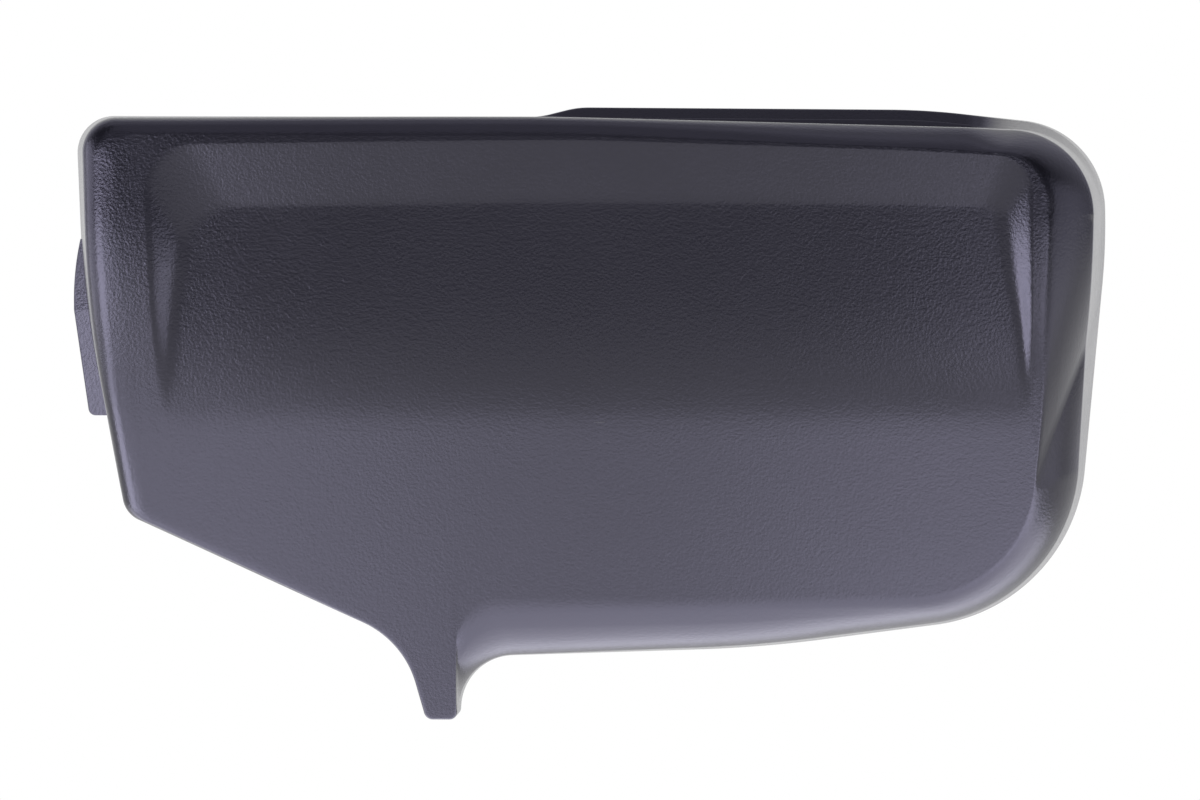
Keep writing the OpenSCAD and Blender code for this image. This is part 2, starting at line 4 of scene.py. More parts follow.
import bmesh
import bpy
import numpy as np
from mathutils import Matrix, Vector


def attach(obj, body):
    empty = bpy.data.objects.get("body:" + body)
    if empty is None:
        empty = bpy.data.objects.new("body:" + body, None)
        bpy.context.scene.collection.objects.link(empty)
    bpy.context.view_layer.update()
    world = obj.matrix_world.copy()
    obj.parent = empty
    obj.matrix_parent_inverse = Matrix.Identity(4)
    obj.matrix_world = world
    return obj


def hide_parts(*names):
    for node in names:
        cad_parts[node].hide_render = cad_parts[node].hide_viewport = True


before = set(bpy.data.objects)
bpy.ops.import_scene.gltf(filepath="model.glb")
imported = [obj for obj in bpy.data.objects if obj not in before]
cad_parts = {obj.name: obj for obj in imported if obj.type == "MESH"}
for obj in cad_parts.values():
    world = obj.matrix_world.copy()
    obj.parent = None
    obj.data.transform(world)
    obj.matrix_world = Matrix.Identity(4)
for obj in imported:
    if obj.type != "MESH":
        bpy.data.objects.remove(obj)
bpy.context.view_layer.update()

MM = 0.001
NODE = "mirror_cover"

# Sizes of the moulding in millimetres, in the frame of the CAD
COVER_DEPTH = 58.0
BOSS_MOUTH_DEPTH = 36.0
WALL = 2.5
FRONT_Y = -BOSS_MOUTH_DEPTH
RIM_Y = COVER_DEPTH - BOSS_MOUTH_DEPTH

# Rim outline
RIM_LEFT, RIM_RIGHT, RIM_TOP, RIM_BOTTOM = 137.6, 132.8, 74.6, 67.4
LEFT_MID_LEAN, LEFT_MID_Z = 2.1, 23.6
LEFT_FOOT_LEAN, LEFT_FOOT_DROP = 14.1, 29.6
RIGHT_MID_Z, RIGHT_FOOT_LEAN = 39.4, 8.9
BOTTOM_RISE, BOTTOM_MID_RISE, BOTTOM_MID_X = 13.0, 2.4, 42.0
SHOULDER_FALL, CORNER_FALL_Z, SHOULDER_X = 2.6, 4.0, 85.0
LEG_RIGHT_X, LEG_W, LEG_TAPER, LEG_DROP, LEG_NECK_DROP = 36.6, 8.6, 5.8, 82.8, 62.2

# Drafts, bands and what they fall back
LEFT_DRAFT, TOP_DRAFT, RIGHT_DRAFT, BOTTOM_DRAFT, LEG_DRAFT = 6.6, 3.2, 7.9, 1.4, 0.7
LEFT_ROLL, TOP_BAND, RIGHT_BAND, BOTTOM_BAND, LEG_EDGE = 7.6, 4.1, 12.0, 11.2, 0.5
LEFT_FALL, TOP_FALL, RIGHT_FALL, BOTTOM_FALL, LEG_FALL = 6.0, 4.0, 10.0, 15.0, 0.8

# Face, scoop and lip
TIP_START_Z, TIP_RADIUS, TIP_ANGLE, CROWN_RADIUS = 48.0, 200.0, math.radians(17), 1500.0
SCOOP_DEPTH, SCOOP_BLEND, FLOOR_LEAN = 4.4, 3.0, math.radians(1.8)
SCOOP_LEFT, SCOOP_RIGHT, SCOOP_TOP = 114.2, 108.1, 63.9
SCOOP_TOP_RISE, SCOOP_TOP_FALL = 0.9, 3.2
SLOPE_TOP, SLOPE_LEFT, SLOPE_RIGHT = 14.8, 11.7, 8.0
LIP_RISE, LIP_END_RISE, LIP_CORNER_RISE = 2.7, 4.2, 0.5
LIP_RUN, LIP_START_X, LIP_RAMP = 12.0, -15.8, 10.0
LIP_STEP = [0.5, 0.5, 0.5, 0.5, 9.0, 0.5, 0.5, 0.5, 0.5, 0.5, 0.5, 0.5, 0.5, 0.5]

# How far the roundings of the edges reach, and the shares of the way at which their neighbours lie:
# two from the crease to the mouth of the scoop, and one from the floor's edge to its middle
CREASE_REACH, MOUTH_REACH, FLOOR_REACH, WALL_REACH = 2.8, 1.8, 2.6, 1.5
BELOW_CREASE, ABOVE_MOUTH, PAST_FLOOR = 0.5, 0.75, 0.08

# Ear on the left wall
EAR_T, EAR_SET_BACK, EAR_OUT, EAR_TOP_OUT = 2.8, 5.5, 4.8, 2.7
EAR_TOP_Z, EAR_LEN, EAR_R, EAR_LEAN = 42.0, 46.0, 1.6, math.radians(22)
EAR_LOW_Z, EAR_BACK_Y, EAR_SOFT = EAR_TOP_Z - EAR_LEN, RIM_Y - EAR_SET_BACK, 0.2

# Clips inside the walls: width, thickness, gap to the wall, barb, and their places as side and share
CLIP_W, CLIP_T, CLIP_GAP, CLIP_BELOW_RIM = 14.0, 2.2, 9.0, 4.0
CLIP_LEN, CLIP_FREE, BARB_H, BARB_LEN = 26.0, 13.0, 2.2, 6.0
CLIP_ARM, CLIP_TIP_Y = WALL + CLIP_GAP, RIM_Y - CLIP_BELOW_RIM
CLIP_FOOT_Y = CLIP_TIP_Y - CLIP_LEN
CLIP_PLACES = [
    (0, 0.3), (0, 0.78), (2, 0.62), (5, 0.1), (5, 0.45), (6, 0.5), (7, 0.62), (11, 0.55), (13, 0.35),
]

# Ribs, gussets, centre boss and pins
RIB_T, RIB_H, RIB_PITCH, RIB_COUNT = 1.6, 7.0, 30.0, 3
LONG_RIB_Z, RIB_TOP_Z, RIB_FOOT_DROP = 22.0, 44.0, 46.0
BOSS_D, BOSS_BORE_D, BOSS_BORE_DEPTH, GUSSET_SPAN, GUSSET_DROP = 10.0, 4.2, 16.0, 24.0, 9.0
PIN_D, PIN_LEN, PIN_TAPER, PIN_COLLAR_D, PIN_SHOULDER_DEPTH = 6.0, 12.0, 1.2, 10.0, 6.0
MARK_R, MARK_PROUD = 3.2, 0.25
MARK_PLACES = [(x, z) for x in (-75, -45, 45, 75) for z in (34, 4)] + [(x, -36) for x in (-45, 45, 75)]
EMBED = WALL / 2
SOFT_EDGE, MERGE = 0.2 * MM, 1e-6

# The studio: its tint, the world's brightness and where its backdrop starts, and floor and camera in metres
STUDIO_TINT, WORLD_STRENGTH, BACKDROP_EDGE = (0.86, 0.85, 1.0), 1.22, (0.7, 0.95)
STAGE_HALF, STAGE_Z = 9.0, -0.7
CAMERA_DISTANCE, FRAME_W, SENSOR_W = 1.15, 0.3, 36.0

# Soft lamps round the front: turn and height in degrees from straight in front, size, and radiance
LAMP_DISTANCE = 0.9
UNDER_LAMP = ("under", (0, 0, -0.5), (0, 0, 0), (1.8, 0.9), 2.9)
LAMPS = [
    ("low_front_left", -38, -40, (0.6, 0.4), 1.85),
    ("low_front_right", 38, -40, (0.6, 0.4), 2.2),
    ("low_middle", 0, -38, (0.6, 0.3), 1.3),
    ("front_fill", 0, 4, (0.5, 0.3), 0.4),
    ("front_left", -35, -22, (0.5, 0.25), 1.3),
    ("wedge_from_right", 32, -6, (0.38, 0.3), 2.8),
    ("wedge_from_left", -45, -6, (0.55, 0.35), 6.6),
    ("side_left", -88, 4, (0.7, 0.5), 2.2),
    ("side_right", 80, 4, (0.5, 0.5), 1.0),
    ("low_left", -66, -28, (0.5, 0.3), 5.0),
    ("low_right", 66, -28, (0.5, 0.3), 2.4),
    ("top_front", 0, 44, (1.2, 0.75), 0.65),
    ("top_back", 0, 78, (1.4, 0.4), 0.7),
]

# The plastic outside, with the scales of its grain per metre and their heights in metres, and inside
OUTSIDE_COLOUR, INSIDE_COLOUR = (0.0068, 0.0066, 0.0085, 1), (0.0125, 0.012, 0.0145, 1)
OUTSIDE_SPECULAR, OUTSIDE_TINT = 0.56, (0.86, 0.84, 1.0, 1)
HAZE_SCALE, GRAIN_SCALE, PATCH_SCALE = 4800, 1450, 40
HAZE_HEIGHT, GRAIN_HEIGHT = 2.2e-5, 7.2e-5
GRAIN_ROUGHNESS, STREAK_ROUGHNESS, STREAK_SCALE = (0.2, 0.23), (0.3, 0.44), (12, 60, 90)
PATCH_RANGE = (0.3, 0.7)
FLOOR_COLOUR, FLOOR_ROUGHNESS, WHITE = (0.8, 0.8, 0.82, 1), 0.9, (1, 1, 1, 1)

# The height where the face's bend ends
TIP_END_Z = TIP_START_Z - TIP_RADIUS * math.sin(TIP_ANGLE)

# Points round each corner and along the side that follows it
CORNER_STEPS = [24, 8, 8, 12, 34, 12, 44, 12, 26, 12, 12, 26, 18, 14]
SIDE_STEPS = [22, 4, 20, 10, 8, 18, 18, 18, 8, 4, 8, 26, 16, 14]
CORNERS = len(CORNER_STEPS)


def unit(v):
    return v / np.linalg.norm(v)


def mix(a, b, t):
    return a + (b - a) * t


def ease(t):
    return t * t * (3 - 2 * t)


def turned(v):
    return np.array([v[1], -v[0]])


def corner_point(c, i, t):
    """A point on the true arc that rounds off corner i, for t from 0 to 1."""
    p = c[i, :2]
    u = unit(c[i - 1, :2] - p)
    v = unit(c[(i + 1) % CORNERS, :2] - p)
    w = math.sqrt((1 - u @ v) / 2)
    a, b = (1 - t) ** 2, 2 * w * t * (1 - t)
    return (a * (p + u * c[i, 2]) + b * p + t * t * (p + v * c[i, 2])) / (a + b + t * t)


def ring(c):
    """All points of a ring of corners [across, up, reach of the rounding]."""
    points = []
    for i in range(CORNERS):
        start, end = corner_point(c, i, 1), corner_point(c, (i + 1) % CORNERS, 0)
        points += [corner_point(c, i, k / CORNER_STEPS[i]) for k in range(CORNER_STEPS[i])]
        points += [mix(start, end, k / SIDE_STEPS[i]) for k in range(SIDE_STEPS[i])]
    return np.array(points)


def along(values):
    """A value for each point of a ring, from one value for each corner."""
    out = []
    for i in range(CORNERS):
        steps, after = SIDE_STEPS[i], values[(i + 1) % CORNERS]
        out += [values[i]] * CORNER_STEPS[i]
        out += [mix(values[i], after, ease(k / steps)) for k in range(steps)]
    return np.array(out)[:, None]


def moved_in(c, t):
    """The same corners moved in by a wall, with each rounding made to suit."""
    out = []
    for i in range(CORNERS):
        into = unit(c[i, :2] - c[i - 1, :2])
        away = unit(c[(i + 1) % CORNERS, :2] - c[i, :2])
        bend = (into[0] * away[1] - into[1] * away[0]) / (1 + into @ away)
        p = c[i, :2] + (turned(into) + turned(away)) * t / (1 + into @ away)
        out.append([p[0], p[1], max(c[i, 2] + bend * t, 0.25)])
    return np.array(out)


def tip(z):
    """How far the face tips back at a height."""
    inside = np.clip(TIP_START_Z - z, 0, TIP_START_Z - TIP_END_Z)
    arc = TIP_RADIUS - np.sqrt(TIP_RADIUS**2 - inside**2)
    return arc + np.clip(TIP_END_Z - z, 0, None) * math.tan(TIP_ANGLE)


def crown(x):
    return x * x / (2 * CROWN_RADIUS)


def face(x, z):
    return FRONT_Y + crown(x) + tip(z)


def scooped(x, z):
    """The face with the scoop's floor in it, the two run together softly."""
    floor = SCOOP_DEPTH - np.clip(z, 0, None) * math.tan(FLOOR_LEAN)
    soft = np.clip(SCOOP_BLEND - np.abs(tip(z) - floor), 0, None) ** 2 / (4 * SCOOP_BLEND)
    return FRONT_Y + crown(x) + np.maximum(tip(z), floor) + soft


# Rings of corners, clockwise from the top left: top left, two at the lip's ramp, shoulder,
# top right, right bend, lower right, bottom bend, leg neck, leg foot, leg foot, leg neck,
# lower left, left bend
def rim_ring_corners():
    return np.array([
        [-RIM_LEFT, RIM_TOP, 10],
        [LIP_START_X, RIM_TOP - 0.3, 3],
        [LIP_START_X + LIP_RAMP, RIM_TOP - 0.5, 3],
        [SHOULDER_X, RIM_TOP - SHOULDER_FALL, 9],
        [RIM_RIGHT - 0.4, RIM_TOP - CORNER_FALL_Z, 21],
        [RIM_RIGHT, RIGHT_MID_Z, 9],
        [RIM_RIGHT - RIGHT_FOOT_LEAN, BOTTOM_RISE - RIM_BOTTOM, 36],
        [BOTTOM_MID_X, BOTTOM_MID_RISE - RIM_BOTTOM, 16],
        [-LEG_RIGHT_X + 1, -RIM_BOTTOM, 12.6],
        [-LEG_RIGHT_X, -LEG_DROP, 1.9],
        [-LEG_RIGHT_X - LEG_W, -LEG_DROP, 1.9],
        [-LEG_RIGHT_X - LEG_W - LEG_TAPER, -LEG_NECK_DROP, 11.5],
        [LEFT_FOOT_LEAN - RIM_LEFT, -LEFT_FOOT_DROP, 3.6],
        [LEFT_MID_LEAN - RIM_LEFT, LEFT_MID_Z, 22],
    ])


def lip_ring_corners(rim):
    raised = rim.copy()
    raised[2:5, 1] += LIP_RISE, LIP_END_RISE, LIP_CORNER_RISE
    return raised


def wall_ring_corners(rim):
    return rim + np.array([
        [LEFT_DRAFT, -TOP_DRAFT, -1],
        [0, -TOP_DRAFT, 0],
        [0, -TOP_DRAFT, 0],
        [-3, -TOP_DRAFT, 0],
        [0.6 - RIGHT_DRAFT, 0.5 - TOP_DRAFT, 0],
        [-RIGHT_DRAFT, -9.4, 8],
        [-RIGHT_DRAFT * 0.36, BOTTOM_DRAFT, -1],
        [-0.8, BOTTOM_DRAFT + 0.3, 0],
        [0.4, BOTTOM_DRAFT - 0.2, 0],
        [-LEG_DRAFT * 0.4, LEG_DRAFT, -0.1],
        [LEG_DRAFT * 0.7, LEG_DRAFT, -0.1],
        [LEG_DRAFT, LEG_DRAFT, -0.1],
        [LEG_DRAFT * 3.6, LEG_DRAFT * 0.8, 0],
        [LEFT_DRAFT - 0.6, -0.9, 0],
    ])


def crease_ring_corners(wall):
    return wall + np.array([
        [LEFT_ROLL, -TOP_BAND, -3],
        [0, -TOP_BAND, 0],
        [0, -TOP_BAND, 0],
        [0, -TOP_BAND - 1, 0],
        [-RIGHT_BAND, -TOP_BAND - 2.1, -9.5],
        [-RIGHT_BAND, -18, 15],
        [-RIGHT_BAND - 0.8, 1.2, -6.5],
        [-18, BOTTOM_BAND - 0.4, 0],
        [-1, BOTTOM_BAND + 2.4, -2.6],
        [-LEG_EDGE, LEG_EDGE, -0.2],
        [LEG_EDGE, LEG_EDGE, -0.2],
        [LEG_EDGE * 0.6, LEG_EDGE, -0.2],
        [LEG_EDGE * 10, -LEG_EDGE * 2, 0],
        [LEFT_ROLL, 2, 0],
    ])


def mouth_ring_corners():
    foot = TIP_END_Z - 4
    return np.array([
        [-SCOOP_LEFT, SCOOP_TOP, 13],
        [LIP_START_X - 4, SCOOP_TOP + SCOOP_TOP_RISE, 2],
        [LIP_START_X + LIP_RAMP + 4, SCOOP_TOP + SCOOP_TOP_RISE, 2],
        [SHOULDER_X - 7, SCOOP_TOP - SCOOP_TOP_FALL * 0.5, 8],
        [SCOOP_RIGHT, SCOOP_TOP - SCOOP_TOP_FALL, 8.5],
        [SCOOP_RIGHT + 0.2, RIGHT_MID_Z - 20, 8],
        [SCOOP_RIGHT + 0.8, foot, 6],
        [BOTTOM_MID_X - 20, foot, 8],
        [6 - LEG_RIGHT_X, foot, 7],
        [-LEG_RIGHT_X - 4, foot, 1.4],
        [-LEG_RIGHT_X - 9, foot, 1.4],
        [-LEG_RIGHT_X - 20, foot, 7],
        [4.4 - SCOOP_LEFT, foot, 5],
        [2 - SCOOP_LEFT, LEFT_MID_Z, 10],
    ])


def floor_ring_corners(mouth):
    return mouth + np.array([
        [SLOPE_LEFT, -SLOPE_TOP - 0.4, -3],
        [0, -SLOPE_TOP, 0],
        [0, -SLOPE_TOP, 0],
        [-3, -SLOPE_TOP * 0.85, 0],
        [-SLOPE_RIGHT, -SLOPE_TOP * 0.78, -4],
        [-SLOPE_RIGHT * 0.3, 0, 0],
        [-1.6, 2.2, -1.5],
        [0, 2.2, 0],
        [0, 2.2, 0],
        [0, 2.2, 0],
        [0, 2.2, 0],
        [0, 2.2, 0],
        [1.6, 2.2, -1.5],
        [SLOPE_LEFT * 0.4, 0, 0],
    ])


RIM = rim_ring_corners()
LIP = lip_ring_corners(RIM)
WALL_TOP = wall_ring_corners(RIM)
CREASE = crease_ring_corners(WALL_TOP)
MOUTH = mouth_ring_corners()
FLOOR = floor_ring_corners(MOUTH)

# For each corner: how far the wall's edge lies behind the face, where the band bends most, and how far
# the inner crease follows the inner wall
CORNER_FALL = [
    LEFT_FALL, TOP_FALL, TOP_FALL, TOP_FALL + 1.5, RIGHT_FALL, RIGHT_FALL, (RIGHT_FALL + BOTTOM_FALL) / 2,
    BOTTOM_FALL, BOTTOM_FALL, LEG_FALL, LEG_FALL, LEG_FALL, LEG_FALL * 5, LEFT_FALL,
]
BEND_IN = [0.9, 0.85, 0.85, 0.62, 0.55, 0.55, 0.66, 0.72, 0.72, 0.7, 0.7, 0.7, 0.85, 0.94]
BEND_BACK = [0.1, 0.16, 0.16, 0.36, 0.4, 0.4, 0.32, 0.26, 0.26, 0.3, 0.3, 0.3, 0.14, 0.05]
INNER_SHIFT = [0.5, 0.5, 0.5, 0.4, 0.3, 0.3, 0.3, 0.3, 0.5, 1.1, 1.1, 1.1, 1.1, 0.6]
HUB = np.array([26.0, 20.0])


def at(p, y):
    """Points of a plan at a depth: a number, or one for each point."""
    return np.column_stack([p[:, 0], np.broadcast_to(np.ravel(y), len(p)), p[:, 1]])


def on_face(p):
    return at(p, face(p[:, 0], p[:, 1]))


def on_floor(p):
    return at(p, scooped(p[:, 0], p[:, 1]))


def bend(a, b, c, t):
    return (1 - t) ** 2 * a + 2 * t * (1 - t) * b + t * t * c


def rounded(a, b, c, reach, steps, share=0.4):
    """Rings that round off the ring b between its neighbours a and c, within a share of the way to each."""
    to_a, to_c = a - b, c - b
    len_a = np.linalg.norm(to_a, axis=1, keepdims=True)
    len_c = np.linalg.norm(to_c, axis=1, keepdims=True)
    s = b + to_a * np.minimum(reach / len_a, share)
    e = b + to_c * np.minimum(reach / len_c, share)
    return [bend(s, b, e, k / steps) for k in range(steps + 1)]


def between(a, b, steps):
    """Rings strictly between two."""
    return [mix(a, b, k / steps) for k in range(1, steps)]


def joined(*runs, steps):
    """Runs of rings put end to end, with plain rings between them."""
    rings = list(runs[0])
    for run, count in zip(runs[1:], steps):
        rings += between(rings[-1], run[0], count) + list(run)
    return rings


def band_rings(top, crease, fall_in, fall_back, steps):
    hold = crease + (top - crease) * np.column_stack([fall_in, fall_back, fall_in])
    return [bend(top, hold, crease, k / steps) for k in range(steps)]


def wall_edge_y(crease):
    """The depth of the wall's front edge at each point, from the ring of the crease."""
    return face(crease[:, 0], crease[:, 1])[:, None] + along(CORNER_FALL)


def outer_rings():
    """The outside, from the rim to the middle of the face."""
    rim, step, wall, crease = ring(LIP), ring(RIM), ring(WALL_TOP), ring(CREASE)
    mouth, floor = ring(MOUTH), ring(FLOOR)
    wall_y, lip_y = wall_edge_y(crease), RIM_Y - LIP_RUN
    share = (lip_y - RIM_Y) / (wall_y - RIM_Y)
    lip_edge = at(mix(rim, wall + rim - step, share), lip_y)
    foot_y = lip_y - along(LIP_STEP)
    lip_foot = at(mix(step, wall, (foot_y - RIM_Y) / (wall_y - RIM_Y)), foot_y)
    top, crease3 = at(wall, wall_y), on_face(crease)
    rim3 = at(rim, RIM_Y)
    band = band_rings(top, crease3, along(BEND_IN), along(BEND_BACK), 16)
    mouth3, floor3 = on_face(mouth), on_floor(floor)
    inward = on_floor(mix(floor, HUB, PAST_FLOOR))
    below_crease = on_face(mix(crease, mouth, BELOW_CREASE))
    above_mouth = on_face(mix(crease, mouth, ABOVE_MOUTH))
    rim_edge = [rim3, mix(rim3, lip_edge, 0.03)]
    lip = rounded(rim3, lip_edge, lip_foot, 0.5, 3) + rounded(lip_edge, lip_foot, top, 0.4, 3)
    turn = rounded(lip_foot, top, band[1], WALL_REACH, 5)
    brow = rounded(band[-4], crease3, below_crease, CREASE_REACH, 9, 0.9)
    mouth_edge = rounded(above_mouth, mouth3, floor3, MOUTH_REACH, 7)
    floor_edge = rounded(mouth3, floor3, inward, FLOOR_REACH, 7)
    edges = joined(rim_edge, lip, turn + band[2:-4], brow, steps=[2, 6, 1])
    edges += [on_face(mix(crease, mouth, s)) for s in np.linspace(BELOW_CREASE, ABOVE_MOUTH - 0.05, 4)]
    edges = joined(edges, mouth_edge, floor_edge, steps=[3, 5])
    return edges + [on_floor(mix(HUB, floor, s)) for s in np.linspace(0.91, 0.02, 26)]


def inner_rings():
    """The inside, from the rim to the middle of the face."""
    rim, step, wall = (ring(moved_in(c, WALL)) for c in (LIP, RIM, WALL_TOP))
    outer_crease, mouth, floor = ring(CREASE), ring(MOUTH), ring(FLOOR)
    crease = mix(outer_crease, ring(moved_in(CREASE, WALL)), along(INNER_SHIFT))
    back = np.array([0, WALL, 0])
    wall_y, lip_y = wall_edge_y(outer_crease), RIM_Y - LIP_RUN - WALL / 2
    share = (lip_y - RIM_Y) / (wall_y - RIM_Y)
    lip_edge = at(mix(rim, wall + rim - step, share), lip_y)
    lip_foot = at(mix(step, wall, share), lip_y - 0.5)
    crease3 = on_face(crease) + back
    top_y = crease3[:, 1:2] + np.maximum(along(CORNER_FALL) - WALL * 0.65, 0.3)
    top, rim3 = at(wall, top_y), at(rim, RIM_Y)
    band = band_rings(top, crease3, along(BEND_IN), along(BEND_BACK), 10)
    half = on_face(mix(crease, mouth, BELOW_CREASE)) + back
    lip = rounded(rim3, lip_edge, lip_foot, 0.5, 3) + rounded(lip_edge, lip_foot, top, 0.4, 3)
    turn = rounded(lip_foot, top, band[1], WALL_REACH, 3)
    brow = rounded(band[-1], crease3, half, CREASE_REACH, 3)
    edges = joined([rim3], lip, turn + band[2:-1], brow, [half], steps=[2, 4, 2, 2])
    edges += [on_face(mouth) + back]
    edges += between(edges[-1], on_floor(floor) + back, 3)
    return edges + [on_floor(mix(HUB, floor, s)) + back for s in np.linspace(1.0, 0.02, 16)]


def loft_mesh(name, outer, inner):
    """One closed skin from the outer rings, the inner rings, the rim between them and two caps."""
    n = len(outer[0])
    rows = outer[::-1] + inner
    points = np.concatenate(rows + [outer[-1].mean(axis=0)[None], inner[-1].mean(axis=0)[None]])
    faces = []
    for k in range(len(rows) - 1):
        a, b = k * n, (k + 1) * n
        faces += [(a + j, a + (j + 1) % n, b + (j + 1) % n, b + j) for j in range(n)]
    last, cap = (len(rows) - 1) * n, len(rows) * n
    faces += [(cap, (j + 1) % n, j) for j in range(n)]
    faces += [(cap + 1, last + j, last + (j + 1) % n) for j in range(n)]
    mesh = make_mesh(name, points, faces)
    hidden = np.zeros(len(faces), dtype=np.int32)
    hidden[len(outer) * n:(len(rows) - 1) * n] = 1
    hidden[-n:] = 1
    mesh.polygons.foreach_set("material_index", hidden)
    return mesh


def make_mesh(name, points, faces=(), smooth=True):
    """A mesh from points in millimetres."""
    mesh = bpy.data.meshes.new(name)
    mesh.from_pydata((np.asarray(points) * MM).tolist(), [], list(faces))
    mesh.polygons.foreach_set("use_smooth", [smooth] * len(mesh.polygons))
    mesh.update()
    return mesh


def add_piece(name, mesh, *materials):
    piece = bpy.data.objects.new(name, mesh)
    bpy.context.scene.collection.objects.link(piece)
    mesh.materials.clear()
    for material in materials:
        mesh.materials.append(material)
    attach(piece, "root")
    return piece


def closed_up(mesh):
    """Doubles merged and normals turned outwards."""
    work = bmesh.new()
    work.from_mesh(mesh)
    bmesh.ops.remove_doubles(work, verts=work.verts, dist=MERGE)
    bmesh.ops.recalc_face_normals(work, faces=work.faces)
    work.to_mesh(mesh)
    work.free()
    return mesh


def geometry_tree(name, *inputs):
    """An empty node tree with a geometry input and output and the named inputs, each (name, kind)."""
    tree = bpy.data.node_groups.new(name, "GeometryNodeTree")
    tree.is_modifier = True
    tree.interface.new_socket("Geometry", in_out="INPUT", socket_type="NodeSocketGeometry")
    for label, kind in inputs:
        tree.interface.new_socket(label, in_out="INPUT", socket_type=kind)
    tree.interface.new_socket("Geometry", in_out="OUTPUT", socket_type="NodeSocketGeometry")
    return tree, node_of(tree, "NodeGroupInput"), node_of(tree, "NodeGroupOutput")


def chain(tree, *sockets):
    """Links sockets two by two: from, to, from, to."""
    for source, target in zip(sockets[::2], sockets[1::2]):
        tree.links.new(source, target)


def finish_tree(tree, geometry, out, material):
    """The end of every tree: real geometry with its material."""
    real = node_of(tree, "GeometryNodeRealizeInstances")
    painted = node_of(tree, "GeometryNodeSetMaterial")
    painted.inputs["Material"].default_value = material
    chain(tree, geometry, real.inputs[0], real.outputs[0], painted.inputs[0],
          painted.outputs[0], out.inputs[0])
    return tree


def plate_tree(material):
    """Flat sheets made into closed plates of one thickness, half on either side."""
    tree, given, out = geometry_tree("moulded_plates", ("Thickness", "NodeSocketFloat"))
    normal = node_of(tree, "GeometryNodeInputNormal")
    half = maths(tree, "MULTIPLY", given.outputs["Thickness"], -0.5)
    shift = node_of(tree, "ShaderNodeVectorMath", operation="SCALE")
    moved = node_of(tree, "GeometryNodeSetPosition")
    thick = node_of(tree, "GeometryNodeExtrudeMesh", mode="FACES")
    thick.inputs["Individual"].default_value = False
    under = node_of(tree, "GeometryNodeFlipFaces")
    joined_up = node_of(tree, "GeometryNodeJoinGeometry")
    merged = node_of(tree, "GeometryNodeMergeByDistance")
    merged.inputs["Distance"].default_value = MERGE
    chain(tree, normal.outputs[0], shift.inputs[0], half, shift.inputs["Scale"],
          given.outputs["Geometry"], moved.inputs["Geometry"],
          shift.outputs[0], moved.inputs["Offset"], moved.outputs[0], thick.inputs["Mesh"],
          given.outputs["Thickness"], thick.inputs["Offset Scale"], moved.outputs[0], under.inputs["Mesh"],
          thick.outputs["Mesh"], joined_up.inputs[0], under.outputs[0], joined_up.inputs[0],
          joined_up.outputs[0], merged.inputs["Geometry"])
    return finish_tree(tree, merged.outputs[0], out, material)


def repeat_tree(material):
    """A pattern repeated on points, each turned about the depth by the point's own angle."""
    tree, given, out = geometry_tree("repeated_pattern", ("Pattern", "NodeSocketObject"))
    pattern = node_of(tree, "GeometryNodeObjectInfo")
    angle = node_of(tree, "GeometryNodeInputNamedAttribute", data_type="FLOAT")
    angle.inputs["Name"].default_value = "turn"
    turn = node_of(tree, "ShaderNodeCombineXYZ")
    placed = node_of(tree, "GeometryNodeInstanceOnPoints")
    chain(tree, given.outputs["Pattern"], pattern.inputs["Object"], given.outputs["Geometry"],
          placed.inputs["Points"], pattern.outputs["Geometry"], placed.inputs["Instance"],
          angle.outputs[0], turn.inputs["Y"], turn.outputs[0], placed.inputs["Rotation"])
    return finish_tree(tree, placed.outputs[0], out, material)


def run_tree(name, mesh, tree, values, bevel=0.0):
    """Runs a tree on a mesh and gives the result as a plain mesh, its edges rounded if asked."""
    carrier = bpy.data.objects.new(name, mesh)
    bpy.context.scene.collection.objects.link(carrier)
    nodes = carrier.modifiers.new("tree", "NODES")
    nodes.node_group = tree
    for item in tree.interface.items_tree:
        if item.in_out == "INPUT" and item.name in values:
            nodes[item.identifier] = values[item.name]
    if bevel:
        soft = carrier.modifiers.new("soft_edges", "BEVEL")
        soft.width, soft.segments, soft.limit_method = bevel, 2, "ANGLE"
        soft.angle_limit = math.radians(40)
    seen = carrier.evaluated_get(bpy.context.evaluated_depsgraph_get())
    made = bpy.data.meshes.new_from_object(seen)
    carrier.modifiers.clear()
    bpy.data.objects.remove(carrier)
    made.name = name
    made.polygons.foreach_set("use_smooth", [True] * len(made.polygons))
    return made


def repeated(name, pattern, places, turns, tree):
    """A pattern mesh repeated at places in millimetres."""
    stamp = bpy.data.objects.new(name + "_pattern", pattern)
    bpy.context.scene.collection.objects.link(stamp)
    points = make_mesh(name + "_points", places)
    points.attributes.new("turn", "FLOAT", "POINT").data.foreach_set("value", turns)
    made = run_tree(name, points, tree, {"Pattern": stamp})
    bpy.data.objects.remove(stamp)
    return made


def prism(name, outline, low, high, axis, bevel=0.3):
    """A flat outline pushed along an axis, 0 for across and 1 for the depth, with softened edges."""
    count = len(outline)
    rest = [k for k in range(3) if k != axis]
    points = np.zeros((2 * count, 3))
    points[:, rest] = np.concatenate([outline, outline])
    points[:count, axis], points[count:, axis] = low, high
    faces = [tuple(range(count)), tuple(range(2 * count - 1, count - 1, -1))]
    faces += [(k, (k + 1) % count, (k + 1) % count + count, k + count) for k in range(count)]
    mesh = closed_up(make_mesh(name, points, faces, smooth=False))
    work = bmesh.new()
    work.from_mesh(mesh)
    bmesh.ops.bevel(
        work, geom=list(work.edges), offset=bevel * MM, segments=2, affect="EDGES",
        profile=0.5, clamp_overlap=True,
    )
    work.to_mesh(mesh)
    work.free()
    return mesh


